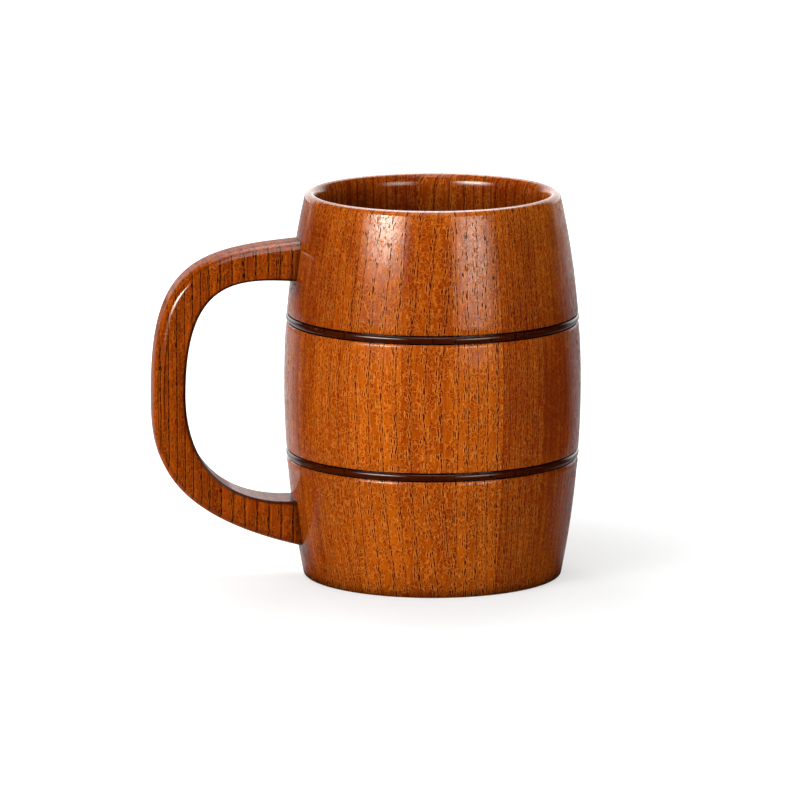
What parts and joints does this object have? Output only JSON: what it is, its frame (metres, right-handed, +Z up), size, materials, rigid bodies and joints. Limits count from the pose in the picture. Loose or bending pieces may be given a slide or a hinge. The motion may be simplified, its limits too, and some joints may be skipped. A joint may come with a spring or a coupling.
{
  "type": "wooden tankard",
  "caption": "Barrel-shaped wooden tankard of glued staves with a let-in bottom, dark hoops in turned grooves and a sawn C-shaped handle, for holding a drink.",
  "frame": {"origin": "middle of the flat base, on the barrel's axis", "axes": "+Z up along the barrel's axis, handle along -X, +Y across the handle"},
  "size_m": [0.1432, 0.099, 0.1284],
  "materials": {
    "stave_wood": "orange-brown stain under gloss lacquer",
    "head_wood": "orange-brown stain under gloss lacquer",
    "handle_wood": "orange-brown stain under gloss lacquer",
    "dark_hoop": "dark brown stain under gloss lacquer",
    "dowel_wood": "bare, glued in"
  },
  "bodies": {
    "root": {"stave_01": "stave_wood", "stave_02": "stave_wood", "stave_03": "stave_wood", "stave_04": "stave_wood", "stave_05": "stave_wood", "stave_06": "stave_wood", "stave_07": "stave_wood", "stave_08": "stave_wood", "stave_09": "stave_wood", "stave_10": "stave_wood", "stave_11": "stave_wood", "stave_12": "stave_wood", "stave_13": "stave_wood", "stave_14": "stave_wood", "stave_15": "stave_wood", "stave_16": "stave_wood", "stave_17": "stave_wood", "stave_18": "stave_wood", "bottom_head": "head_wood", "hoop_upper": "dark_hoop", "hoop_lower": "dark_hoop", "handle": "handle_wood", "dowel_upper": "dowel_wood", "dowel_lower": "dowel_wood"}
  },
  "joints": []
}
